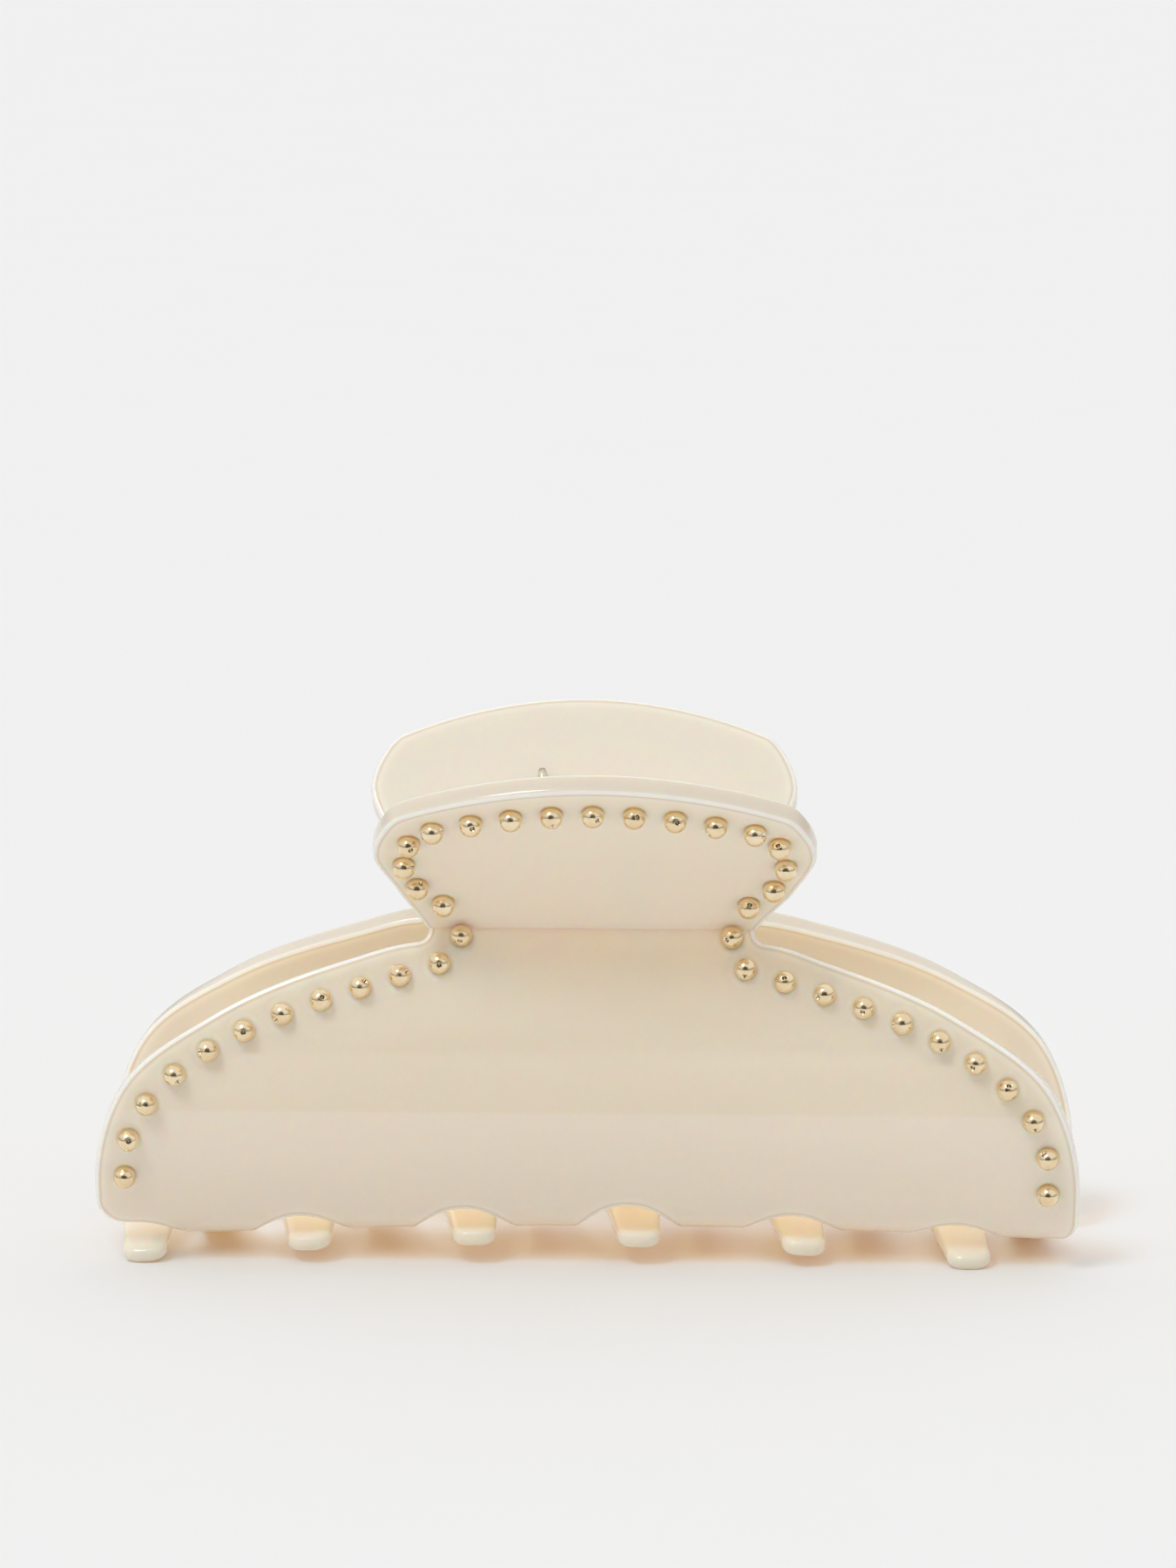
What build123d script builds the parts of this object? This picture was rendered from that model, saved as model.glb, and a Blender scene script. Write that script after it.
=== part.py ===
from build123d import *
from math import cos, degrees, pi, radians, sin
import os

# Claw clip: two equal bent sheet jaws on one hinge pin, closed by a torsion spring, with rows of
# small metal beads set in the outer faces. Millimetres, +X along the hinge, +Z up. The front jaw
# is on the -Y side. The origin is the bottom centre, on the plane that the tooth tips stand on.
# The jaw is modelled once, as the rear one; the front jaw is the same one turned about Z.
# Each jaw is one sheet: a tab above the neck crease, a bowed body below it, and curled teeth.

# Sheet and side profile. A lean is the sheet's angle from vertical in the side view.
sheet = 2.5
neck_height = 38.9
neck_offset = 7.15
tab_lean = 37.6
tab_radius = 210.0
tab_length = 26.0
body_lean = 31.5
body_radius = 33.0
curl_radius = 5.0
curl_start_lean = -24.7
curl_end_lean = -83.0

# Tab outline, as half widths about the tab's own centre line.
tab_shift = 1.1
neck_shift = 0.5
tab_half_width = 24.5
tab_widest = 14.0
tab_corner = (21.0, 20.9)
waist_half_width = 18.2

# Body outline.
notch_drop = 1.9
body_half_width = 55.3
end_height = 8.6
toothed_low = 2.4
corner_radius = 3.4

# Teeth, and the round-ended slots between them. Slot tops climb towards the middle of the jaw.
teeth = 6
tooth_pitch = 18.4
tip_pitch = 18.6
tip_drift = 1.1
slot_radius = 5.9
slot_top = 7.9
slot_climb = 0.055
tooth_reach = 9.6
tooth_root_width = 6.6
tooth_tip_width = 5.0
tip_corner_radius = 2.0
tooth_tip_thickness = 1.9
end_tooth_drop = 1.6
end_tooth_extra_lean = 5.2

# Beads, sunk in drilled sockets.
bead_radius = 1.25
bead_proud = 0.4
bead_hole_radius = 0.3
socket_clearance = 0.02
beads_on_tab_top = 9
beads_on_tab_side = 4
beads_on_flank = 11
flank_stagger = 0.03

# Hinge. Each jaw has an inner lug on one side and an outer lug on the other.
hinge_drop = 1.5
pin_radius = 1.2
pin_clearance = 0.05
knuckle_radius = 3.2
lug_width = 3.4
lug_gap = 0.15
lug_inner_start = 5.6
lug_outer_end = lug_inner_start + 2 * lug_width + lug_gap
lug_foot = 8.5
pin_head_radius = 2.1
head_thickness = 1.0
cap_thickness = 1.2
end_play = 0.1

# Torsion spring. Its legs lie along the inner faces of the tabs, nearest at leg_touch.
wire_radius = 0.55
coil_length = 8.6
spring_turns = 7
leg_touch = 9.0
leg_gap = 0.05
leg_length = 21.5

hinge = Vector(0, 0, neck_height - hinge_drop)
neck = Vector(0, neck_offset, neck_height)


def outward(lean):
    """Outer face normal, in the side view, of sheet below the neck that leans by lean."""
    return Vector(0, cos(radians(lean)), sin(radians(lean)))


def tab_outward(lean):
    """Outer face normal, in the side view, of sheet above the neck."""
    return Vector(0, cos(radians(lean)), -sin(radians(lean)))


body_centre = neck - outward(body_lean) * body_radius
tab_centre = neck + tab_outward(tab_lean) * tab_radius


def sheet_place(x, along, proud=0.0):
    """A place on the sheet's mid-surface, moved out by proud, with its Z along the outer normal.
    along is measured up from the crease."""
    if along < 0:
        normal = outward(body_lean + degrees(along / body_radius))
        middle = body_centre + normal * body_radius
    else:
        normal = tab_outward(tab_lean + degrees(along / tab_radius))
        middle = tab_centre - normal * tab_radius
    return Plane(middle + normal * proud + Vector(x, 0, 0), x_dir=(1, 0, 0), z_dir=normal)


def arc_strip(centre, radius, start, size):
    """Side profile of a bent piece of sheet: a sector of a ring about centre."""
    inner = CenterArc((0, 0), radius - sheet / 2, 0, size)
    outer = CenterArc((0, 0), radius + sheet / 2, 0, size)
    sector = make_face([inner, outer, Line(inner @ 0, outer @ 0), Line(inner @ 1, outer @ 1)])
    return Pos(centre.Y, centre.Z) * Rot(0, 0, start) * sector


def along_x(profile, x_from, x_to):
    """Solid with the given side profile between two places along X."""
    return Pos(x_from, 0, 0) * extrude(Plane.YZ * profile, x_to - x_from)


# Teeth ----------------------------------------------------------------------------------------


def end_weight(index):
    """0 in the middle of the tooth row, 1 at its ends."""
    return ((2 * index - teeth + 1) / (teeth - 1)) ** 2


def tooth_x(index):
    return (index - (teeth - 1) / 2 - 0.25) * tooth_pitch


def tip_x(index):
    return (index - (teeth - 1) / 2) * tip_pitch - 0.25 * tooth_pitch + tip_drift


def curl_leans(index):
    """Where the bend at the foot of the body starts and ends, as leans of the sheet."""
    first = curl_start_lean - degrees(end_tooth_drop * end_weight(index) / body_radius)
    last = curl_end_lean + end_tooth_extra_lean * end_weight(index)
    return first, last


def curl_centre(index):
    first = curl_leans(index)[0]
    return body_centre + outward(first) * (body_radius - curl_radius)


def curl_profile(index):
    """The bend of one tooth's share of the sheet."""
    first, last = curl_leans(index)
    return arc_strip(curl_centre(index), curl_radius, last, first - last)


def blade_profile(index):
    """The straight, thinning part of a tooth, with a round tip."""
    normal = outward(curl_leans(index)[1])
    root = curl_centre(index) + normal * curl_radius
    run = Vector(0, normal.Z, -normal.Y)
    tip = root - run * ((root.Y + tooth_reach - tooth_tip_thickness / 2) / run.Y)
    half_root = normal * (sheet / 2)
    half_tip = normal * (tooth_tip_thickness / 2)
    corners = [root + half_root, tip + half_tip, tip - half_tip, root - half_root]
    blade = make_face(Polyline([(p.Y, p.Z) for p in corners], close=True))
    return blade + Pos(tip.Y, tip.Z) * Circle(tooth_tip_thickness / 2)


def tooth(index):
    """One tooth, narrowing from its root to a rounded tip."""
    root, tip = tooth_x(index), tip_x(index)
    half_root, half_tip = tooth_root_width / 2, tooth_tip_width / 2
    back = neck_offset + curl_radius
    plan = make_face(Polyline(
        (root - half_root, back), (root + half_root, back),
        (tip + half_tip, -tooth_reach), (tip - half_tip, -tooth_reach), close=True,
    ))
    plan = fillet(plan.vertices().sort_by(Axis.Y)[:2], tip_corner_radius)
    profile = curl_profile(index) + blade_profile(index)
    band = along_x(profile, root - tooth_pitch / 2, root + tooth_pitch / 2)
    return band & extrude(plan, neck_height)


def slot(index):
    """Cutter for the round-ended gap on the +X side of a tooth, square to the curl's middle."""
    x = tooth_x(index) + tooth_pitch / 2
    apex = slot_top - slot_climb * abs(x)
    middle_tooth = (teeth - 1) // 2
    normal = outward(sum(curl_leans(middle_tooth)) / 2)
    down = Vector(0, normal.Z, -normal.Y)
    on_sheet = curl_centre(middle_tooth) + normal * curl_radius
    rise = (apex - on_sheet.Z) / -down.Z
    place = on_sheet + Vector(x, 0, 0) - down * rise + down * slot_radius
    cutter = Cylinder(slot_radius, 5 * sheet)
    return Plane(place, x_dir=(1, 0, 0), z_dir=normal) * cutter


# Jaw ------------------------------------------------------------------------------------------


def tab():
    """The finger tab: a gently curved fan above the neck, its sides cut square to it."""
    sweep_angle = degrees(tab_length / tab_radius)
    profile = arc_strip(tab_centre, tab_radius, 180 - tab_lean - sweep_angle, sweep_angle)
    corners = [Vector(side * tab_corner[0] - tab_shift, tab_corner[1]) for side in (1, -1)]
    edges = [ThreePointArc(corners[0], (-tab_shift, tab_length), corners[1])]
    for side, corner in zip((1, -1), corners):
        edges.append(Spline(
            (side * waist_half_width - neck_shift, 0), (side * 22.2 - tab_shift, 7.5),
            (side * tab_half_width - tab_shift, tab_widest), corner,
            tangents=[(side * 0.45, 1), (-side, 0.5)],
        ))
    edges.append(Line(edges[1] @ 0, edges[2] @ 0))
    square_on = Plane(neck, x_dir=(1, 0, 0), z_dir=-tab_outward(tab_lean + sweep_angle / 2))
    cutter = extrude(square_on * make_face(edges), 2 * sheet, both=True)
    return along_x(profile, -body_half_width, body_half_width) & cutter


def body_outline():
    """Front view of the body: wide shoulders, upright ends, one bare and one toothed corner."""
    notch = neck_height - notch_drop
    shoulder = Spline(
        (waist_half_width, notch), (27.0, neck_height - 3.9), (41.6, neck_height - 9.7),
        (51.8, neck_height - 17.3), (body_half_width, end_height),
        tangents=[(1, -0.1), (0, -1)],
    )
    bare_low = slot_top - slot_climb * body_half_width
    sides = Polyline(
        shoulder @ 1, (body_half_width, bare_low), (tooth_x(5), bare_low), (tooth_x(5), toothed_low),
        (-body_half_width, toothed_low), (-body_half_width, end_height),
    )
    neck_sides = Polyline(
        (-waist_half_width, notch), (-waist_half_width, neck_height + sheet),
        (waist_half_width, neck_height + sheet), (waist_half_width, notch),
    )
    edges = [shoulder, shoulder.mirror(Plane.YZ), *sides.edges(), *neck_sides.edges()]
    outline = make_face(edges)
    ends = [v for v in outline.vertices() if abs(v.X) > body_half_width - 0.1]
    return fillet([v for v in ends if v.Y < end_height - 1], corner_radius)


def body():
    """The bowed body with the curl along its foot, cut to its outline and slotted."""
    bands = []
    for index in range(teeth):
        left = tooth_x(index) - tooth_pitch / 2 if index else -body_half_width
        right = tooth_x(index) + tooth_pitch / 2 if index < teeth - 1 else body_half_width
        first = curl_leans(index)[0]
        bow = arc_strip(body_centre, body_radius, first, body_lean - first)
        bands.append(along_x(bow + curl_profile(index), left, right))
    outline = extrude(Plane.XZ * body_outline(), -2 * body_half_width)
    return (bands[0] + bands[1:]) & outline - [slot(index) for index in range(teeth)]


def neck_roll():
    """Rounds the inside of the fold between tab and body; the outside stays a sharp crease."""
    roll = along_x(Pos(neck.Y, neck.Z) * Circle(sheet / 2), -waist_half_width, waist_half_width)
    return Pos(-neck_shift, 0, 0) * roll


def evenly(line, count, start=0.0, end=1.0):
    """Points spaced evenly along a line."""
    return [line @ (start + (end - start) * n / (count - 1)) for n in range(count)]


def bead_rows():
    """Where every bead of the rear jaw sits, as row name to places."""
    top_line = ThreePointArc((-17.7, 18.5), (0, 21.8), (17.7, 18.5))
    side_line = Spline((20.4, 16.0), (21.1, 12.4), (17.0, 5.2))
    flank_line = Spline((16.4, -4.8), (29.8, -8.9), (42.2, -14.4), (48.9, -20.0), (51.7, -30.3))
    rows = {
        "tab_top_beads": evenly(top_line, beads_on_tab_top),
        "tab_right_beads": evenly(side_line, beads_on_tab_side),
        "tab_left_beads": evenly(side_line.mirror(Plane.YZ), beads_on_tab_side),
        "neck_beads": [Vector(15.1, -1.8), Vector(-15.1, -1.8)],
    }
    flanks = {
        "right_flank_beads": evenly(flank_line, beads_on_flank, 0, 1 - flank_stagger),
        "left_flank_beads": evenly(flank_line.mirror(Plane.YZ), beads_on_flank, flank_stagger, 1),
    }
    proud = sheet / 2 + bead_proud
    places = {}
    for name, row in rows.items():
        places[name] = [sheet_place(point.X - tab_shift, point.Y, proud) for point in row]
    for name, row in flanks.items():
        places[name] = [sheet_place(point.X, point.Y, proud) for point in row]
    return places


def jaw(rows):
    """One whole jaw sheet with its flat-bottomed bead sockets and flat-footed end teeth."""
    sheet_solid = body() + [tooth(index) for index in range(teeth)] + tab() + neck_roll()
    socket_radius = bead_radius + socket_clearance
    socket = Cylinder(socket_radius, sheet, align=(Align.CENTER, Align.CENTER, Align.MIN))
    socket = Pos(0, 0, -socket_radius) * socket
    sockets = [place * socket for row in rows.values() for place in row]
    floor = Pos(0, 0, -neck_height / 2) * Box(4 * body_half_width, neck_height * 2, neck_height)
    return sheet_solid - sockets - floor


def bead_row(places):
    """A row of drilled beads, each with its drilling turned its own way."""
    drilled = Sphere(bead_radius) - Cylinder(bead_hole_radius, 3 * bead_radius)
    beads = [place * Rot(47 * n, 31 * n, 0) * drilled for n, place in enumerate(places)]
    return Compound(children=beads)


# Hinge ----------------------------------------------------------------------------------------


def lug(jaw_solid, x_from):
    """A bored block between the hinge pin and the inner face of the rear jaw, under the neck."""
    knuckle = Pos(hinge.Y, hinge.Z) * Circle(knuckle_radius)
    high = sheet_place(0, -0.2).origin
    low = sheet_place(0, -lug_foot).origin
    profile = make_hull([*knuckle.edges(), Line((high.Y, high.Z), (low.Y, low.Z))])
    bore = Pos(hinge) * Rot(0, 90, 0) * Cylinder(pin_radius + pin_clearance, 4 * lug_outer_end)
    return along_x(profile, x_from, x_from + lug_width) - jaw_solid - bore


def hinge_pin():
    """Steel pin with a domed head at its -X end."""
    length = 2 * lug_outer_end + 2 * end_play + cap_thickness
    shaft = Cylinder(pin_radius, length, align=(Align.CENTER, Align.CENTER, Align.MIN))
    head = Cylinder(pin_head_radius, head_thickness, align=(Align.CENTER, Align.CENTER, Align.MAX))
    head = fillet(head.edges().sort_by(Axis.Z)[0], head_thickness * 0.6)
    place = Plane(hinge - Vector(lug_outer_end + end_play, 0, 0), z_dir=(1, 0, 0))
    return place * (shaft + head)


def pin_cap():
    """Ring pushed onto the pin's +X end."""
    ring = Cylinder(pin_head_radius, cap_thickness, align=(Align.CENTER, Align.CENTER, Align.MIN))
    ring = chamfer(ring.edges().sort_by(Axis.Z)[-1], 0.3)
    ring -= Cylinder(pin_radius, 4 * cap_thickness)
    return Plane(hinge + Vector(lug_outer_end + end_play, 0, 0), z_dir=(1, 0, 0)) * ring


def torsion_spring():
    """Coil round the pin, swept turn by turn, with a straight leg along the inner face of each tab."""
    lean = radians(tab_lean) + leg_touch / tab_radius
    hinge_to_tab = (tab_centre - hinge).dot(tab_outward(degrees(lean))) - tab_radius - sheet / 2
    coil_radius = hinge_to_tab - wire_radius - leg_gap
    turns = spring_turns + 0.5 - lean / pi
    span_length = coil_length / spring_turns
    span = Helix(coil_length / turns, span_length, coil_radius, lefthand=True)
    start = Plane(
        hinge - Vector(coil_length / 2, 0, 0), x_dir=(0, cos(lean), -sin(lean)), z_dir=(1, 0, 0)
    )
    places = []
    for n in range(spring_turns):
        places.append(start * Pos(0, 0, n * span_length) * Rot(0, 0, -n * 360 * turns / spring_turns))
    section = Circle(wire_radius)
    span_wire = sweep(Plane(span @ 0, z_dir=span % 0) * section, path=span)
    first, last = places[0] * span, places[-1] * span
    rear_leg = extrude(Plane(first @ 0, z_dir=-(first % 0)) * section, leg_length)
    front_leg = extrude(Plane(last @ 1, z_dir=last % 1) * section, leg_length)
    return rear_leg + [place * span_wire for place in places] + front_leg


# Pieces ---------------------------------------------------------------------------------------


def front_name(rear_name):
    """Name of the same piece on the front jaw, where the half turn swaps left and right."""
    swapped = {"left": "right", "right": "left", "rear": "front"}
    return "_".join(swapped.get(word, word) for word in rear_name.split("_"))


rows = bead_rows()
rear_jaw = jaw(rows)
pieces = {"rear_jaw": rear_jaw}
pieces["rear_inner_lug"] = lug(rear_jaw, -lug_inner_start - lug_width)
pieces["rear_outer_lug"] = lug(rear_jaw, lug_outer_end - lug_width)
for name, places in rows.items():
    pieces[f"rear_{name}"] = bead_row(places)
for name, piece in list(pieces.items()):
    pieces[front_name(name)] = Rot(0, 0, 180) * piece
pieces["hinge_pin"] = hinge_pin()
pieces["pin_cap"] = pin_cap()
pieces["torsion_spring"] = torsion_spring()

os.makedirs("parts", exist_ok=True)
for name, piece in pieces.items():
    export_step(piece, f"parts/{name}.step")
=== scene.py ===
import math
import random

import bmesh
import bpy
import numpy as np
from mathutils import Matrix, Vector
from mathutils.geometry import delaunay_2d_cdt


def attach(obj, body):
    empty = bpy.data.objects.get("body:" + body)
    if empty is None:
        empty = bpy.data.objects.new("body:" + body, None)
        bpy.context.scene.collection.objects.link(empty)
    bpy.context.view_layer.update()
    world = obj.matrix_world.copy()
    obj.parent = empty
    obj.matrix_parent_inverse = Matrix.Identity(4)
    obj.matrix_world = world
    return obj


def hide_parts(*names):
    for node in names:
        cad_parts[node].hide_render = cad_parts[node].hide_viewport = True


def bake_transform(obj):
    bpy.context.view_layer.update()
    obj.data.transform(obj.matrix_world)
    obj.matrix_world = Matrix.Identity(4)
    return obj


# Claw clip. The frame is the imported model, in metres: +X along the hinge, front jaw on -Y, +Z up.
# Sizes below are in millimetres. Each jaw is a flat sheet outline, bent along the same side profile
# as the frame's own jaws: u runs across the jaw and s runs up the sheet from the neck crease.

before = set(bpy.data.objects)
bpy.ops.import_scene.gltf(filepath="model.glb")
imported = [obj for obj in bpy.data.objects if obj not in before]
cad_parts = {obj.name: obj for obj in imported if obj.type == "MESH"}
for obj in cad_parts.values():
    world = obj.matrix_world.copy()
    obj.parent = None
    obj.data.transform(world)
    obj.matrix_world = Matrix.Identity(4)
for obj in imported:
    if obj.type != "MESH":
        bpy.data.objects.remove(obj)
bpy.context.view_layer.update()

MM = 0.001
REAR, FRONT = "rear_jaw_body", "front_jaw_body"

# Sheet and side profile. A lean is the sheet's angle from vertical, in radians.
sheet = 2.5
neck_height = 38.9
neck_offset = 7.15
tab_lean = math.radians(37.6)
tab_radius = 210.0
tab_length = 26.0
body_lean = math.radians(31.5)
body_radius = 33.0
fold_radius = 1.3
curl_radius = 5.0
curl_start = math.radians(-24.7)
curl_end = math.radians(-83.0)

# Outline.
tab_shift = 1.1
neck_shift = 0.5
tab_corner = (21.0, 20.9)
tab_bulge = (23.6, 17.4)
tab_widest = (24.5, 14.0)
tab_side = (22.2, 7.5)
waist_half_width = 18.2
notch_radius = 1.4
notch_depth = 2.35
shoulder = [(26.9, -4.41), (41.6, -10.5), (51.8, -18.2)]
body_half_width = 55.3
shoulder_end = -31.0
corner_radius = 3.4
toothed_corner_top = -34.3
toothed_corner_low = -38.6

# Teeth.
teeth = 6
tooth_pitch = 18.4
tip_pitch = 18.6
tip_drift = 1.1
slot_radius = 5.9
slot_top = 7.9
slot_climb = 0.055
tooth_reach = 9.6
tooth_root_width = 6.6
tooth_tip_width = 5.0
tip_corner_radius = 2.0
tip_thickness = 1.9
end_tooth_drop = 1.6
end_tooth_extra_lean = math.radians(5.2)

# Rounded edges and bead dimples.
edge_radius = 0.5
tip_edge_radius = 0.9
tip_edge_reach = 6.0
edge_steps = 5
outline_step = 0.45
border_gap = 0.35
bead_radius = 1.25
bead_proud = 0.4
bead_hole_radius = 0.28
dimple_radius = 2.1
dimple_depth = 0.16

# Hinge pin and torsion spring.
hinge_height = 37.4
pin_radius = 1.2
pin_head_radius = 2.1
lug_outer_end = 12.55
end_play = 0.1
head_thickness = 1.0
cap_thickness = 1.2
pin_sides = 40
wire_radius = 0.55
coil_length = 8.6
spring_turns = 7
leg_touch = 9.0
leg_gap = 0.05
leg_length = 21.5


# Sheet formula --------------------------------------------------------------------------------


def facing(angle):
    """Unit vectors (out, up) at an angle above level."""
    return np.stack([np.cos(angle), np.sin(angle)], axis=-1)


neck = np.array([neck_offset, neck_height])
tab_centre = neck + facing(-tab_lean) * tab_radius
body_centre = neck - facing(body_lean) * body_radius
fold = fold_radius * math.tan((tab_lean + body_lean) / 2)


def curl_at(u):
    """First and last angle of the curl at u, and s at both ends of it."""
    weight = np.clip(2 * (u / tooth_pitch + 0.25) / (teeth - 1), -1, 1) ** 2
    first = curl_start - end_tooth_drop * weight / body_radius
    last = curl_end + end_tooth_extra_lean * weight
    first_s = (first - body_lean) * body_radius
    last_s = first_s + (last - first) * curl_radius
    return first, last, first_s, last_s


def curl_middle(first):
    return body_centre + facing(first) * (body_radius - curl_radius)


def blade_length(u):
    """Length of the straight part of a tooth, from the end of the curl to the tip."""
    first, last, _, _ = curl_at(u)
    root_out = (curl_middle(first) + facing(last) * curl_radius)[..., 0]
    return (root_out + tooth_reach) / -np.sin(last)


def sheet_at(u, s):
    """Mid-surface points as (out, up), outward angles and half thicknesses of the bent sheet."""
    first, last, first_s, last_s = curl_at(u)
    tab_angle = -tab_lean - s / tab_radius
    tab_point = tab_centre - facing(tab_angle) * tab_radius
    body_angle = body_lean + s / body_radius
    body_point = body_centre + facing(body_angle) * body_radius

    fold_top = -tab_lean - fold / tab_radius
    fold_low = body_lean - fold / body_radius
    top_middle = tab_centre + facing(fold_top) * (fold_radius - tab_radius)
    low_middle = body_centre + facing(fold_low) * (fold_radius + body_radius)
    share = np.clip((fold - s) / (2 * fold), 0, 1)
    fold_angle = fold_top + (fold_low - fold_top) * share
    fold_middle = top_middle + (low_middle - top_middle) * share[..., None]
    fold_point = fold_middle - facing(fold_angle) * fold_radius

    curl_angle = np.clip(first + (s - first_s) / curl_radius, last, first)
    curl_point = curl_middle(first) + facing(curl_angle) * curl_radius
    along = np.clip(last_s - s, 0, None)
    curl_point += np.stack([np.sin(last), -np.cos(last)], axis=-1) * along[..., None]

    where = [s > fold, s > -fold, s > first_s]
    angle = np.select(where, [tab_angle, fold_angle, body_angle], curl_angle)
    where = [w[..., None] for w in where]
    point = np.select(where, [tab_point, fold_point, body_point], curl_point)
    thinning = (sheet - tip_thickness) / 2 * np.clip(along / blade_length(u), 0, 1)
    return point, angle, sheet / 2 - thinning


def bent(u, s, share):
    """3-D points of the rear jaw, where share is 1 on the outer face and -1 on the inner one."""
    point, angle, half = sheet_at(u, s)
    point = point + facing(angle) * (half * share)[..., None]
    up = np.maximum(point[..., 1], 0)
    return np.stack([u, point[..., 0], up], axis=-1)


def s_at_height(u, height):
    """s where the mid-surface of the foot reaches a height."""
    s = np.linspace(-38, -20, 400)
    up = sheet_at(np.full_like(s, u), s)[0][:, 1]
    return float(np.interp(height, up, s))


# Outline --------------------------------------------------------------------------------------


def arc(centre, radius, start, end, steps=24):
    angles = np.radians(np.linspace(start, end, steps))
    return np.array(centre) + radius * facing(angles)


def flowing(points, start_way, end_way, steps=24):
    """Smooth curve through the points, leaving and arriving along the given directions."""
    points = np.array(points, float)
    chords = np.linalg.norm(np.diff(points, axis=0), axis=1)[:, None]
    slopes = np.diff(points, axis=0) / chords
    ways = np.empty_like(points)
    ways[1:-1] = (slopes[:-1] * chords[1:] + slopes[1:] * chords[:-1]) / (chords[:-1] + chords[1:])
    ways[0] = np.array(start_way) / np.linalg.norm(start_way)
    ways[-1] = np.array(end_way) / np.linalg.norm(end_way)
    t = np.linspace(0, 1, steps, endpoint=False)[:, None]
    spans = []
    for a, b, way_a, way_b, chord in zip(points, points[1:], ways, ways[1:], chords):
        ends = (2 * t**3 - 3 * t**2 + 1) * a + (3 * t**2 - 2 * t**3) * b
        bows = (t**3 - 2 * t**2 + t) * way_a + (t**3 - t**2) * way_b
        spans.append(ends + bows * chord)
    return np.vstack([*spans, points[-1:]])


def side_edge(side):
    """From the tab's corner down through the waist and out along the shoulder."""
    tab_points = [(side * u - tab_shift, s) for u, s in (tab_corner, tab_bulge, tab_widest, tab_side)]
    waist = side * waist_half_width - neck_shift
    tab = flowing([*tab_points, (waist, -0.6)], (side, -0.5), (-side * 0.2, -1))
    angles = (180, 270) if side > 0 else (0, -90)
    notch = arc((waist + side * notch_radius, notch_radius - notch_depth), notch_radius, *angles)
    shoulder_points = [(side * u, s) for u, s in shoulder]
    end = (side * body_half_width, shoulder_end)
    return np.vstack([tab, notch, flowing([notch[-1], *shoulder_points, end], (side, -0.1), (0, -1))])


def tooth_x(index):
    return (index - (teeth - 1) / 2 - 0.25) * tooth_pitch


def tip_x(index):
    return (index - (teeth - 1) / 2) * tip_pitch - 0.25 * tooth_pitch + tip_drift


def tooth_edge(index):
    """The slot on a tooth's +u side, then down and round the tooth's tip."""
    slot_u = tooth_x(index) + tooth_pitch / 2
    apex = s_at_height(slot_u, slot_top - slot_climb * abs(slot_u))
    slot = arc((slot_u, apex - slot_radius), slot_radius, 90 if index == teeth - 1 else 0, 180)
    tip = tip_x(index)
    tip_s = float(curl_at(tip)[3] - blade_length(tip))
    inset = tooth_tip_width / 2 - tip_corner_radius
    tip_right = arc((tip + inset, tip_s + tip_corner_radius), tip_corner_radius, 0, -90)
    tip_left = arc((tip - inset, tip_s + tip_corner_radius), tip_corner_radius, -90, -180)
    return np.vstack([slot, tip_right, tip_left])


def foot_edge():
    """The bare corner, every slot and tooth towards -u, and the toothed corner."""
    bare_u = tooth_x(teeth - 1) + tooth_pitch / 2
    bare_low = s_at_height(bare_u, slot_top - slot_climb * bare_u)
    bare = arc((body_half_width - corner_radius, bare_low + corner_radius), corner_radius, 0, -90)
    rows = [tooth_edge(index) for index in reversed(range(teeth))]
    low = (tooth_x(0) - tooth_root_width / 2, toothed_corner_low)
    corner = flowing([low, (-body_half_width, toothed_corner_top)], (-0.3, 1), (0, 1))
    return np.vstack([bare, *rows, corner])


def outline():
    """The whole jaw outline, clockwise from the tab's -u corner, evenly spaced."""
    right = side_edge(1)
    left = side_edge(-1)
    top = flowing([left[0], (-tab_shift, tab_length), right[0]], (1, 0.5), (1, -0.5))
    loop = np.vstack([top, right[1:], foot_edge(), left[::-1]])
    steps = np.linalg.norm(np.diff(loop, axis=0), axis=1)
    length = np.concatenate([[0], np.cumsum(steps)])
    even = np.linspace(0, length[-1], int(length[-1] / outline_step), endpoint=False)
    return np.stack([np.interp(even, length, loop[:, axis]) for axis in (0, 1)], axis=1)


def inward(loop):
    """Unit directions into the sheet at every point of the clockwise outline."""
    way = np.roll(loop, -1, axis=0) - np.roll(loop, 1, axis=0)
    way /= np.linalg.norm(way, axis=1)[:, None]
    return np.stack([way[:, 1], -way[:, 0]], axis=1)


# Jaw mesh -------------------------------------------------------------------------------------


def nearest(points, others):
    """Distance from each point to the nearest of the others."""
    gaps = points[:, None, :] - others[None, :, :]
    return np.sqrt((gaps**2).sum(axis=2).min(axis=1))


def inside(points, loop):
    """Which points lie inside the loop, by counting crossings."""
    a, b = loop, np.roll(loop, -1, axis=0)
    x, y = points[:, 0:1], points[:, 1:2]
    spans = (a[None, :, 1] > y) != (b[None, :, 1] > y)
    rise = np.where(spans, b[None, :, 1] - a[None, :, 1], 1)
    crossing = a[None, :, 0] + (y - a[None, :, 1]) / rise * (b[None, :, 0] - a[None, :, 0])
    return (spans & (x < crossing)).sum(axis=1) % 2 == 1


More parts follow.
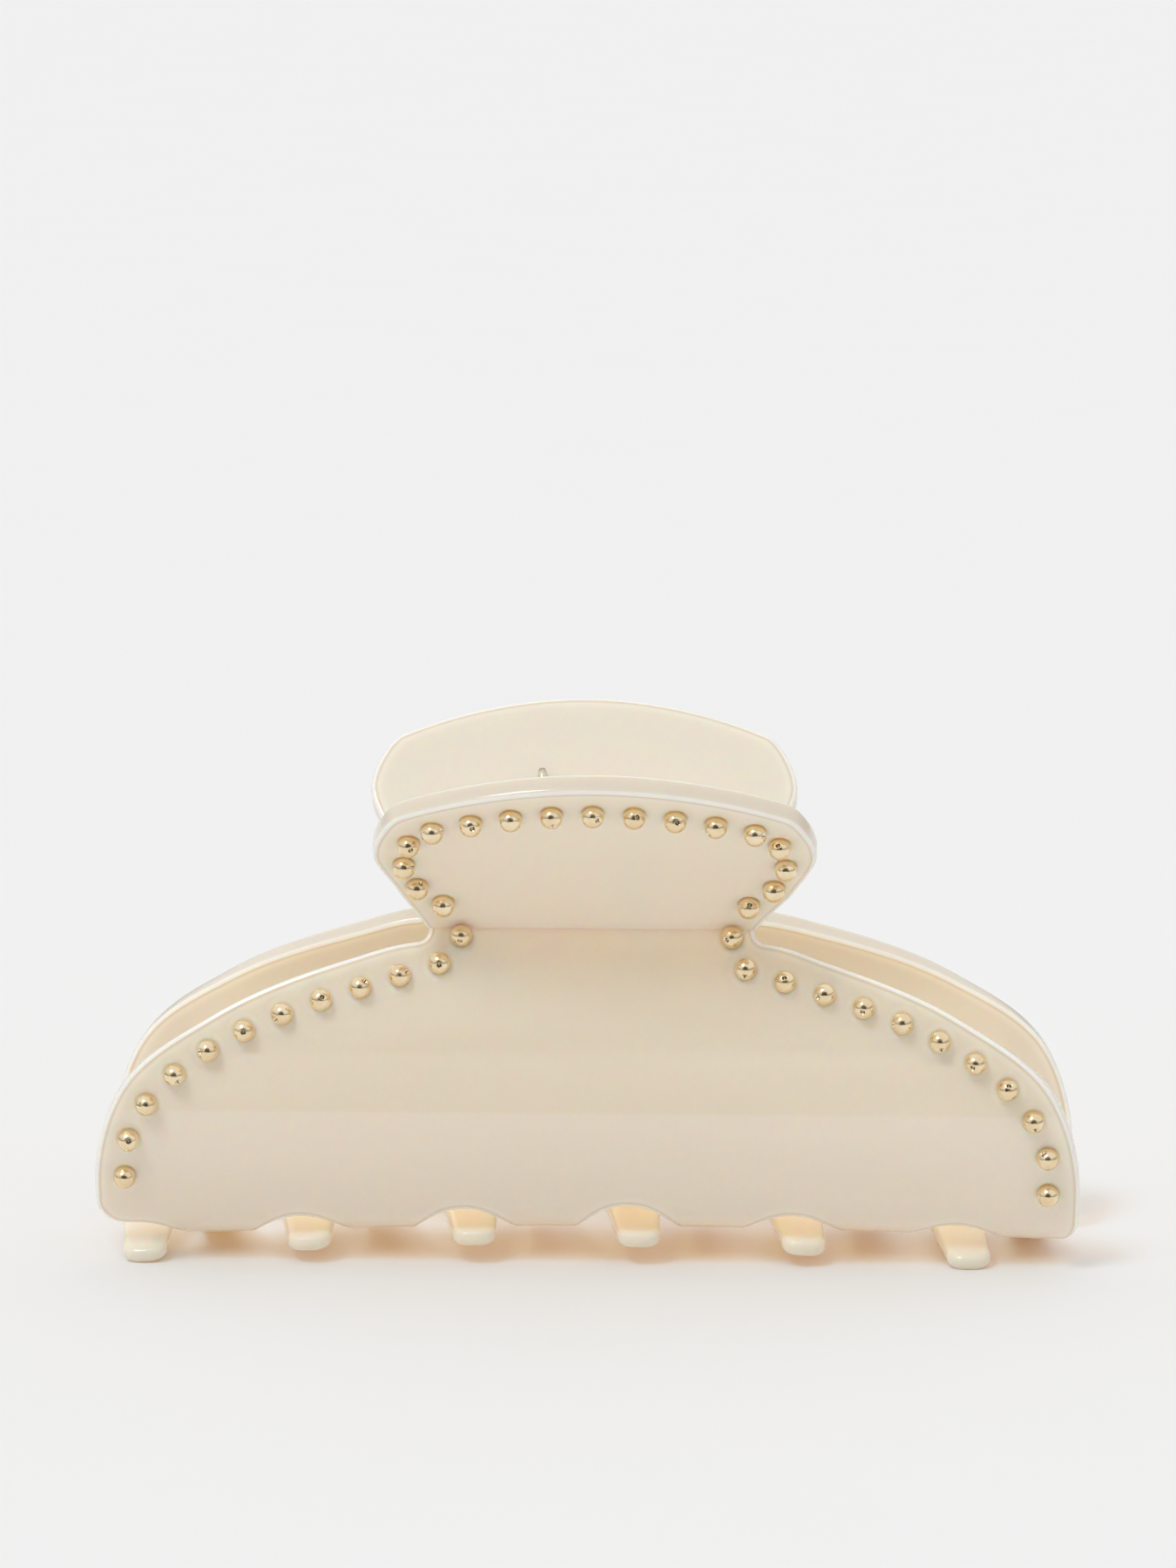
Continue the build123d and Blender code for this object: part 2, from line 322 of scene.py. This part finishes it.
def grid_rows():
    """Values of s for the sheet's inner points, closest where it bends most."""
    fold_rows = np.linspace(-fold, fold, 7)
    margins = [-1.6, -1.2, -0.98, 0.98, 1.2, 1.6]
    curl_low = float(curl_at(0.0)[3])
    tab_rows = np.arange(3.0, tab_length, 1.5)
    body_rows = np.arange(-2.6, curl_at(0.0)[2], -1.1)
    curl_rows = np.arange(curl_at(0.0)[2], curl_low - 2, -0.4)
    blade_rows = np.arange(curl_low - 2.8, curl_low - 16, -1.1)
    return np.concatenate([fold_rows, margins, tab_rows, body_rows, curl_rows, blade_rows])


def dimple(distance):
    """How far the outer face dips at a distance from a bead's centre."""
    share = np.clip(1 - (distance - bead_radius) / (dimple_radius - bead_radius), 0, 1)
    pocket = np.clip(bead_radius * 1.02 - distance, 0, 0.4)
    return dimple_depth * share**2 * (3 - 2 * share) + pocket


def face_points(ring, beads, dimpled):
    """Inner points of one face of the sheet: a grid, and circles round the beads."""
    u, s = np.meshgrid(np.arange(-body_half_width, body_half_width, 1.2), grid_rows())
    points = np.stack([u.ravel(), s.ravel()], axis=1)
    points = points[inside(points, ring)]
    points = points[nearest(points, ring) > border_gap]
    if dimpled:
        points = points[nearest(points, beads) > dimple_radius + border_gap]
        circles = []
        for radius in (0.5, 0.95, 1.2, 1.32, 1.5, 1.75, dimple_radius):
            circle = arc((0, 0), radius, 0, 360, 25)[:-1]
            circles.append((beads[:, None, :] + circle[None, :, :]).reshape(-1, 2))
        around = np.vstack(circles)
        around = around[inside(around, ring)]
        around = around[nearest(around, ring) > 0.12]
        points = np.vstack([points, around])
    return points


def face_mesh(ring, beads, dimpled):
    """Triangles over one face of the sheet, whose border is the ring."""
    points = np.vstack([ring, face_points(ring, beads, dimpled)])
    count = len(ring)
    border = [(n, (n + 1) % count) for n in range(count)]
    coords = [Vector(p) for p in points.tolist()]
    found = delaunay_2d_cdt(coords, border, [], 1, 1e-6)
    return np.array([tuple(p) for p in found[0]]), found[2]


def jaw_parts(beads):
    """The outline, then flat points, thickness shares and faces of the whole rounded sheet."""
    loop = outline()
    into = inward(loop)
    turns = np.linspace(0, math.pi / 2, edge_steps)[:, None]
    along = np.clip(curl_at(loop[:, 0])[3] - loop[:, 1], 0, None)
    radius = edge_radius + (tip_edge_radius - edge_radius) * np.clip(along / tip_edge_reach, 0, 1)
    insets = radius * (1 - np.sin(turns))
    drops = 1 - radius * (1 - np.cos(turns)) / (sheet / 2)
    middle = np.zeros(len(loop))
    flat = [loop + into * inset[:, None] for inset in (*insets, middle, *insets[::-1])]
    shares = [*drops, middle, *-drops[::-1]]
    rings = len(shares)
    faces = []
    count = len(loop)
    for ring in range(rings - 1):
        for n in range(count):
            a, b = ring * count + n, ring * count + (n + 1) % count
            faces.append((a, b, b + count, a + count))
    for ring, share in ((flat[0], 1), (flat[rings - 1], -1)):
        points, triangles = face_mesh(ring, beads, share > 0)
        start = sum(len(part) for part in flat)
        faces += [tuple(start + corner for corner in triangle) for triangle in triangles]
        flat.append(points)
        shares.append(np.full(len(points), share))
    flat, shares = np.vstack(flat), np.concatenate(shares)
    return loop, flat, shares, faces


def bead_places(centres):
    """Flat places (u, s) of beads of the rear jaw from their centres in the frame."""
    s = np.concatenate([np.linspace(-36, -fold, 900), np.linspace(fold, 25, 600)])
    places = []
    for x, y, z in centres:
        point, angle, half = sheet_at(np.full_like(s, x), s)
        middle = point + facing(angle) * (half + bead_proud)[:, None]
        best = np.argmin(((middle - (y, z)) ** 2).sum(axis=1))
        places.append((x, s[best]))
    return np.array(places)


def new_mesh(name, points, faces):
    """A mesh object from points in millimetres."""
    mesh = bpy.data.meshes.new(name)
    mesh.from_pydata((np.array(points) * MM).tolist(), [], faces)
    piece = bpy.data.objects.new(name, mesh)
    bpy.context.scene.collection.objects.link(piece)
    return piece


def close_mesh(piece):
    """Welds the piece's seams, turns its faces outward and shades it smooth."""
    shape = bmesh.new()
    shape.from_mesh(piece.data)
    bmesh.ops.remove_doubles(shape, verts=shape.verts, dist=0.004 * MM)
    bmesh.ops.recalc_face_normals(shape, faces=shape.faces)
    shape.to_mesh(piece.data)
    shape.free()
    piece.data.polygons.foreach_set("use_smooth", [True] * len(piece.data.polygons))
    return piece


def add_value(piece, name, values):
    attribute = piece.data.attributes.new(name, "FLOAT", "POINT")
    attribute.data.foreach_set("value", np.asarray(values, np.float32))


def make_jaw(name, beads, turned):
    """One bent jaw sheet. turned gives the front one, half a turn about Z."""
    loop, flat, shares, faces = jaw_parts(beads)
    gap = nearest(flat, beads)
    dips = np.where(shares >= 1, dimple(gap), 0)
    points = bent(flat[:, 0], flat[:, 1], shares - dips / (sheet / 2))
    if turned:
        points[:, :2] *= -1
    piece = new_mesh(name, points, faces)
    add_value(piece, "edge_mm", nearest(flat, loop))
    add_value(piece, "bead_mm", np.where(shares >= 1, gap, 10 * bead_radius))
    add_value(piece, "blade_mm", np.clip(curl_at(flat[:, 0])[3] - flat[:, 1], 0, None))
    add_value(piece, "s_mm", flat[:, 1])
    add_value(piece, "side", shares)
    return close_mesh(piece)


# Round pieces ---------------------------------------------------------------------------------


def revolve(profile, segments):
    """Points and faces of (radius, height) turned about Z; ends on the axis are closed."""
    points, faces = [], []
    for radius, height in profile:
        for n in range(segments):
            turn = 2 * math.pi * n / segments
            points.append((radius * math.cos(turn), radius * math.sin(turn), height))
    for ring in range(len(profile) - 1):
        for n in range(segments):
            a, b = ring * segments + n, ring * segments + (n + 1) % segments
            faces.append((a, b, b + segments, a + segments))
    faces.append(tuple(range(segments)))
    last = (len(profile) - 1) * segments
    faces.append(tuple(last + n for n in range(segments)))
    return np.array(points), faces


def bead_profile():
    """A ball with a small drilling from each pole and a soft lip round it."""
    mouth = math.asin(bead_hole_radius / bead_radius)
    deep = bead_radius * 0.6
    turns = np.linspace(math.pi / 2 - mouth * 1.25, mouth * 1.25 - math.pi / 2, 23)
    ball = [(bead_radius * math.cos(t), bead_radius * math.sin(t)) for t in turns]
    lip = bead_radius * math.cos(mouth) - 0.03
    mouth_ring = (bead_hole_radius, lip)
    return [(bead_hole_radius * 0.9, deep), mouth_ring, *ball,
            (bead_hole_radius, -lip), (bead_hole_radius * 0.9, -deep)]


def bead_centres(node):
    """Centres, in millimetres, of the separate beads in one CAD node."""
    shape = bmesh.new()
    shape.from_mesh(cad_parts[node].data)
    bmesh.ops.remove_doubles(shape, verts=shape.verts, dist=0.005 * MM)
    shape.verts.index_update()
    seen, centres = set(), []
    for start in shape.verts:
        if start.index in seen:
            continue
        seen.add(start.index)
        island, todo = [], [start]
        while todo:
            vertex = todo.pop()
            island.append(vertex.co[:])
            for edge in vertex.link_edges:
                other = edge.other_vert(vertex)
                if other.index not in seen:
                    seen.add(other.index)
                    todo.append(other)
        island = np.array(island)
        centres.append((island.min(axis=0) + island.max(axis=0)) / 2 / MM)
    shape.free()
    return sorted(centres, key=lambda c: tuple(np.round(c, 1)))


def make_beads(name, centres, draws):
    """One row of drilled beads, each turned its own way."""
    ball, ball_faces = revolve(bead_profile(), 32)
    points, faces = [], []
    for centre in centres:
        turn = Matrix.Rotation(draws.uniform(0, math.pi), 3, "Z")
        turn = turn @ Matrix.Rotation(draws.uniform(0.6, 1.5), 3, "X")
        turn = np.array(turn @ Matrix.Rotation(draws.uniform(0, math.pi), 3, "Y"))
        start = len(points) * len(ball)
        faces += [tuple(start + corner for corner in face) for face in ball_faces]
        points.append(ball @ turn.T + centre)
    return close_mesh(new_mesh(name, np.vstack(points), faces))


def along_hinge(points, start):
    """Turns points whose axis is Z onto the hinge line, beginning at x = start."""
    x, y, z = points.T
    return np.stack([start + z, y, hinge_height + x], axis=1)


def make_pin():
    """Shaft with a domed head at its -X end and a softly turned tail."""
    length = 2 * lug_outer_end + 2 * end_play + cap_thickness
    dome = [(pin_head_radius * math.sin(t), -head_thickness * math.cos(t))
            for t in np.linspace(0.12, math.pi / 2, 8)]
    shaft = [(pin_head_radius, -0.12), (pin_head_radius - 0.12, 0), (pin_radius, 0)]
    tail = [(pin_radius, length - 0.3), (pin_radius - 0.1, length - 0.08), (pin_radius - 0.3, length)]
    points, faces = revolve([*dome, *shaft, *tail], pin_sides)
    return close_mesh(new_mesh("pin", along_hinge(points, -lug_outer_end - end_play), faces))


def make_cap():
    """Push-on ring with rounded edges, seated on the pin's +X end."""
    soft = 0.3
    corners = [(soft, 0), (0, soft), (0, cap_thickness - soft), (soft, cap_thickness)]
    outer = [(pin_head_radius - inset, height) for inset, height in corners]
    ring = [(pin_radius, 0), *outer, (pin_radius, cap_thickness)]
    points, faces = revolve(ring, pin_sides)
    open_faces = faces[:-2]
    last = (len(ring) - 1) * pin_sides
    for n in range(pin_sides):
        m = (n + 1) % pin_sides
        open_faces.append((n, last + n, last + m, m))
    return close_mesh(new_mesh("push_cap", along_hinge(points, lug_outer_end + end_play), open_faces))


def spring_path():
    """Rear leg, coil and front leg of the spring, as one line of points. The legs leave the coil
    along its helix, so they drift outward as they rise."""
    lean = tab_lean + leg_touch / tab_radius
    hinge = np.array([0, hinge_height])
    to_tab = (tab_centre - hinge) @ facing(-lean) - tab_radius - sheet / 2
    coil_radius = to_tab - wire_radius - leg_gap
    turns = spring_turns + 0.5 - lean / math.pi
    sweep = -np.linspace(0, 2 * math.pi * turns, int(turns * 40))
    out_way, up_way = facing(-lean), facing(math.pi / 2 - lean)
    coil = np.cos(sweep)[:, None] * out_way + np.sin(sweep)[:, None] * up_way
    coil = hinge + coil * coil_radius
    coil = np.column_stack([np.linspace(-coil_length / 2, coil_length / 2, len(sweep)), coil])
    rise = coil_length / (2 * math.pi * turns * coil_radius)
    reach = np.linspace(1, 0.01, 30)[:, None] * leg_length / math.hypot(1, rise)
    rear_leg = coil[0] + reach * np.array([-rise, *up_way])
    front_leg = coil[-1] + reach[::-1] * np.array([rise, -up_way[0], up_way[1]])
    return np.vstack([rear_leg, coil, front_leg])


def make_spring():
    """Round wire swept along the spring's path, with softened cut ends."""
    path = spring_path()
    ways = np.gradient(path, axis=0)
    ways /= np.linalg.norm(ways, axis=1)[:, None]
    across = np.array([1.0, 0, 0])
    sides, points, faces = 20, [], []
    radii = np.full(len(path), wire_radius)
    radii[[0, -1]] = wire_radius * 0.75
    for middle, way, radius in zip(path, ways, radii):
        across = across - way * (across @ way)
        across /= np.linalg.norm(across)
        upward = np.cross(way, across)
        for n in range(sides):
            turn = 2 * math.pi * n / sides
            points.append(middle + radius * (math.cos(turn) * across + math.sin(turn) * upward))
    for ring in range(len(path) - 1):
        for n in range(sides):
            a, b = ring * sides + n, ring * sides + (n + 1) % sides
            faces.append((a, b, b + sides, a + sides))
    faces.append(tuple(range(sides)))
    faces.append(tuple(len(points) - sides + n for n in range(sides)))
    return close_mesh(new_mesh("spring", np.array(points), faces))


# Materials ------------------------------------------------------------------------------------


class Nodes:
    """A new material and short ways to add its nodes."""

    def __init__(self, name):
        self.material = bpy.data.materials.new(name)
        self.material.use_nodes = True
        self.tree = self.material.node_tree
        self.surface = self.tree.nodes["Principled BSDF"]

    def add(self, kind, **values):
        node = self.tree.nodes.new(kind)
        for key, value in values.items():
            setattr(node, key, value)
        return node

    def join(self, source, target):
        self.tree.links.new(source, target)

    def value(self, name):
        return self.add("ShaderNodeAttribute", attribute_name=name).outputs["Fac"]

    def noise(self, scale, stretch=(1, 1, 1), detail=3.0):
        """Noise over the object's own metres, finer along an axis where stretch is larger."""
        place = self.add("ShaderNodeTexCoord").outputs["Object"]
        mapping = self.add("ShaderNodeMapping")
        mapping.inputs["Scale"].default_value = stretch
        self.join(place, mapping.inputs["Vector"])
        node = self.add("ShaderNodeTexNoise")
        node.inputs["Scale"].default_value = scale
        node.inputs["Detail"].default_value = detail
        self.join(mapping.outputs["Vector"], node.inputs["Vector"])
        return node.outputs["Fac"]

    def between(self, source, low, high, to_low=0.0, to_high=1.0):
        """Maps source from low..high to to_low..to_high, clamped and smooth."""
        node = self.add("ShaderNodeMapRange", interpolation_type="SMOOTHSTEP")
        for slot, number in zip(node.inputs[1:5], (low, high, to_low, to_high)):
            slot.default_value = number
        self.join(source, node.inputs["Value"])
        return node.outputs["Result"]

    def mix(self, share, a, b):
        """Colour a, turning to b as share goes to 1."""
        node = self.add("ShaderNodeMix", data_type="RGBA")
        self.join(share, node.inputs["Factor"])
        for slot, colour in ((node.inputs[6], a), (node.inputs[7], b)):
            if isinstance(colour, tuple):
                slot.default_value = (*colour, 1)
            else:
                self.join(colour, slot)
        return node.outputs[2]

    def tint(self, colour, source, start, full, share, to):
        """Lays the colour `to` over another: none of it at start, and a share of it at full."""
        return self.mix(self.between(source, start, full, 0, share), colour, to)

    def bump(self, height, strength, distance):
        node = self.add("ShaderNodeBump")
        node.inputs["Strength"].default_value = strength
        node.inputs["Distance"].default_value = distance
        self.join(height, node.inputs["Height"])
        self.join(node.outputs["Normal"], self.surface.inputs["Normal"])

    def tint_shadows(self, colour):
        """Lets light from lamps and sky through each surface, coloured, so shadows stay warm."""
        mixer = self.add("ShaderNodeMixShader")
        clear = self.add("ShaderNodeBsdfTransparent")
        clear.inputs["Color"].default_value = (*colour, 1)
        self.join(self.add("ShaderNodeLightPath").outputs["Is Shadow Ray"], mixer.inputs[0])
        self.join(self.surface.outputs[0], mixer.inputs[1])
        self.join(clear.outputs[0], mixer.inputs[2])
        self.join(mixer.outputs[0], self.tree.nodes["Material Output"].inputs["Surface"])

    def set(self, **values):
        for key, value in values.items():
            self.surface.inputs[key.replace("_", " ")].default_value = value


def sheet_painted_light(m, colour):
    """The jaw sheet's painted light and shade, each tint laid over the one before. Lengths are in
    millimetres.
    """
    climb = m.value("s_mm")
    # Painted reflection: below a reflected edge low on the body, the sheet is tinted paler.
    painted_reflection_step = (0.91, 0.86, 0.77)
    # Painted glow: the tab above the neck crease is tinted lighter and warmer, as if light shines
    # through it.
    painted_tab_glow = (0.95, 0.88, 0.74)
    colour = m.tint(colour, climb, -20.7, -21.3, 0.5, painted_reflection_step)
    colour = m.tint(colour, climb, -1.0, 1.5, 0.6, painted_tab_glow)

    # Painted light on the inner faces: a paler sheen tone on the inner tab and a painted shade tone
    # on the inner body.
    painted_inner_body_shade, painted_inner_tab_sheen = (0.83, 0.785, 0.69), (0.85, 0.81, 0.70)
    painted_inner_light = m.mix(m.between(climb, -1.0, 1.5), painted_inner_body_shade, painted_inner_tab_sheen)
    colour = m.mix(m.between(m.value("side"), -0.2, -0.9), colour, painted_inner_light)

    edge = m.value("edge_mm")
    # Painted light at the rounded edges: a paler rim, a thin dark reflection line and a white
    # highlight line, then painted shade on the cut face.
    painted_rim_light, painted_dark_reflection, painted_edge_highlight = (0.91, 0.88, 0.82), (0.62, 0.50, 0.34), (0.96, 0.94, 0.91)
    painted_cut_face_shade = (0.76, 0.71, 0.61)
    colour = m.tint(colour, edge, 1.7, 0.8, 0.5, painted_rim_light)
    colour = m.tint(colour, edge, 0.9, 0.6, 0.4, painted_dark_reflection)
    colour = m.tint(colour, edge, 0.52, 0.4, 0.85, painted_edge_highlight)
    colour = m.tint(colour, edge, 0.12, 0.0, 1.0, painted_cut_face_shade)

    blade = m.value("blade_mm")
    # Painted shade: the teeth are tinted darker caramel. Painted light: the tips are tinted paler, as
    # if light falls on them and shines through.
    tooth, painted_tip_light, painted_bead_ring_light = (0.82, 0.71, 0.50), (0.86, 0.82, 0.72), (1.0, 0.94, 0.83)
    colour = m.tint(colour, blade, 0.0, 3.0, 0.8, tooth)
    colour = m.tint(colour, blade, 5.5, 8.5, 0.9, painted_tip_light)
    # Painted highlight: a pale warm ring round each bead on the outer face, which also lifts the
    # shade in the dimple.
    return m.tint(colour, m.value("bead_mm"), 2.2, 1.4, 0.85, painted_bead_ring_light)


def acetate_material(name, is_sheet):
    """Polished cream acetate with milky streaks. The jaw sheets also get painted light and shade over
    it.
    """
    m = Nodes(name)
    streaks = m.noise(40, (0.35, 1, 1.6), 4)
    colour = m.mix(m.between(streaks, 0.35, 0.7), (0.85, 0.79, 0.645), (0.89, 0.84, 0.715))
    if is_sheet:
        colour = sheet_painted_light(m, colour)
    m.join(colour, m.surface.inputs["Base Color"])
    m.join(m.between(m.noise(900), 0.3, 0.7, 0.10, 0.17), m.surface.inputs["Roughness"])
    m.bump(m.noise(55, (0.6, 1, 1), 2), 0.25, 0.0004)
    m.set(Subsurface_Weight=1.0, Subsurface_Scale=0.0022, Subsurface_Radius=(1.0, 0.62, 0.32),
          IOR=1.48, Coat_Weight=0.25, Coat_Roughness=0.05)
    m.tint_shadows((0.86, 0.66, 0.42))
    return m.material


def gold_material():
    """Polished gold plate, a little duller and darker in patches."""
    m = Nodes("gold_plate")
    colour = m.mix(m.between(m.noise(500), 0.35, 0.7), (0.88, 0.70, 0.44), (0.95, 0.80, 0.56))
    m.join(colour, m.surface.inputs["Base Color"])
    m.join(m.between(m.noise(1400), 0.3, 0.7, 0.10, 0.22), m.surface.inputs["Roughness"])
    m.bump(m.noise(1600), 0.18, 0.0002)
    m.set(Metallic=1.0)
    return m.material


def metal_material(name, colour, dark, roughness, stretch):
    """Drawn or turned metal with fine marks along one direction."""
    m = Nodes(name)
    marks = m.noise(2500, stretch)
    m.join(m.mix(m.between(marks, 0.3, 0.7), colour, dark), m.surface.inputs["Base Color"])
    m.join(m.between(marks, 0.25, 0.75, roughness, roughness + 0.15), m.surface.inputs["Roughness"])
    m.bump(marks, 0.1, 0.0001)
    m.set(Metallic=1.0)
    return m.material


def paint(piece, material):
    piece.data.materials.clear()
    piece.data.materials.append(material)


# Stage ----------------------------------------------------------------------------------------


def make_floor():
    """Plain pale floor, wide enough to fill the view."""
    half = 3000
    corners = [(-half, -half, 0), (half, -half, 0), (half, half, 0), (-half, half, 0)]
    floor = new_mesh("floor", corners, [(0, 1, 2, 3)])
    m = Nodes("floor_paint")
    m.join(m.mix(m.noise(30), (0.86, 0.86, 0.86), (0.87, 0.87, 0.87)), m.surface.inputs["Base Color"])
    m.set(Roughness=0.9)
    m.surface.inputs["Specular IOR Level"].default_value = 0.1
    paint(floor, m.material)


def ramp_node(tree, source, low, high, to_low, to_high):
    """Maps source from low..high to to_low..to_high, clamped and smooth."""
    ramp = tree.nodes.new("ShaderNodeMapRange")
    ramp.interpolation_type = "SMOOTHSTEP"
    for slot, number in zip(ramp.inputs[1:5], (low, high, to_low, to_high)):
        slot.default_value = number
    tree.links.new(source, ramp.inputs["Value"])
    return ramp.outputs["Result"]


def make_world():
    """Bright room overhead, dimmer at the horizon, with a dark patch on the camera's side."""
    world = bpy.data.worlds.new("studio")
    bpy.context.scene.world = world
    world.use_nodes = True
    tree = world.node_tree
    background = tree.nodes["Background"]
    background.inputs["Color"].default_value = (1, 1, 1, 1)
    place = tree.nodes.new("ShaderNodeTexCoord").outputs["Generated"]
    split = tree.nodes.new("ShaderNodeSeparateXYZ")
    tree.links.new(place, split.inputs["Vector"])
    toward_camera = tree.nodes.new("ShaderNodeVectorMath")
    toward_camera.operation = "DOT_PRODUCT"
    toward_camera.inputs[1].default_value = (0, -0.975, 0.22)
    tree.links.new(place, toward_camera.inputs[0])
    product = tree.nodes.new("ShaderNodeMath")
    product.operation = "MULTIPLY"
    room = ramp_node(tree, split.outputs["Z"], 0.05, 0.4, 0.35, 0.865)
    patch = ramp_node(tree, toward_camera.outputs["Value"], 0.82, 0.93, 1.0, 0.12)
    tree.links.new(room, product.inputs[0])
    tree.links.new(patch, product.inputs[1])
    tree.links.new(product.outputs[0], background.inputs["Strength"])


def make_sun(azimuth, elevation, strength, size):
    """Soft distant lamp. Azimuth is where it stands: 0 on -Y, 90 on +X."""
    lamp = bpy.data.lights.new("key", "SUN")
    lamp.energy = strength
    lamp.angle = math.radians(size)
    holder = bpy.data.objects.new("key", lamp)
    a, e = math.radians(azimuth), math.radians(elevation)
    way = Vector((math.sin(a) * math.cos(e), -math.cos(a) * math.cos(e), math.sin(e)))
    holder.rotation_mode = "QUATERNION"
    holder.rotation_quaternion = way.to_track_quat("Z", "Y")
    bpy.context.scene.collection.objects.link(holder)


def make_glow(power):
    """Weak warm lamp between the closed jaws, hidden from the camera, facing the rear jaw. It
    stands in for light that real acetate lets through."""
    lamp = bpy.data.lights.new("glow", "AREA")
    lamp.shape = "RECTANGLE"
    lamp.size = 0.096
    lamp.size_y = 0.016
    lamp.energy = power
    lamp.color = (1.0, 0.87, 0.60)
    holder = bpy.data.objects.new("glow", lamp)
    holder.location = (0, -0.009, 0.019)
    holder.rotation_euler = (math.radians(82), 0, 0)
    holder.visible_camera = False
    bpy.context.scene.collection.objects.link(holder)


def make_camera():
    """Long lens, a little right of the middle, looking down by 11 degrees."""
    lens = bpy.data.cameras.new("camera")
    lens.lens = 151.3
    lens.sensor_width = 36
    lens.clip_start = 0.05
    camera = bpy.data.objects.new("camera", lens)
    camera.location = (0.0236, -0.7275, 0.1951)
    camera.rotation_euler = (math.radians(79.0), 0, math.radians(1.87))
    bpy.context.scene.collection.objects.link(camera)
    bpy.context.scene.camera = camera


# Build ----------------------------------------------------------------------------------------


def build_jaws(material):
    """Both jaws, with their dimples where the frame's beads are."""
    rows = [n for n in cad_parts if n.startswith("rear_") and n.endswith("_beads")]
    centres = [centre for row in sorted(rows) for centre in bead_centres(row)]
    beads = bead_places(centres)
    for name, body, turned in (("rear_jaw", REAR, False), ("front_jaw", FRONT, True)):
        piece = make_jaw(name + "_sheet", beads, turned)
        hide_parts(name)
        paint(piece, material)
        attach(piece, body)


def build_beads(material):
    """Every bead row, in place of the frame's plain ones."""
    draws = random.Random(11)
    for node in sorted(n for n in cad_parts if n.endswith("_beads")):
        piece = make_beads(node.replace("_beads", "_bead_row"), bead_centres(node), draws)
        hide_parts(node)
        paint(piece, material)
        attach(piece, REAR if node.startswith("rear_") else FRONT)


def build_hinge():
    """Pin, cap and spring, and the finish of the frame's lugs."""
    steel = metal_material("bright_steel", (0.80, 0.79, 0.76), (0.68, 0.67, 0.64), 0.15, (1, 1, 1))
    wire = metal_material("spring_wire", (0.83, 0.76, 0.62), (0.66, 0.60, 0.48), 0.2, (1, 1, 1))
    for piece, node in ((make_pin(), "hinge_pin"), (make_cap(), "pin_cap")):
        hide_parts(node)
        paint(piece, steel)
        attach(piece, FRONT)
    spring = make_spring()
    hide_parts("torsion_spring")
    paint(spring, wire)
    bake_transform(spring)
    lug_material = acetate_material("lug_acetate", False)
    for node in ("rear_inner_lug", "rear_outer_lug", "front_inner_lug", "front_outer_lug"):
        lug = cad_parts[node]
        paint(lug, lug_material)
        weld = lug.modifiers.new("weld", "WELD")
        weld.merge_threshold = 0.005 * MM
        soften = lug.modifiers.new("soften", "BEVEL")
        soften.width = 0.25 * MM
        soften.segments = 3
        soften.angle_limit = math.radians(40)


bpy.context.scene.view_settings.view_transform = "Standard"
build_jaws(acetate_material("cream_acetate", True))
build_beads(gold_material())
build_hinge()
make_floor()
make_world()
make_sun(azimuth=-40, elevation=55, strength=0.85, size=16)
make_glow(power=0.0036)
make_camera()
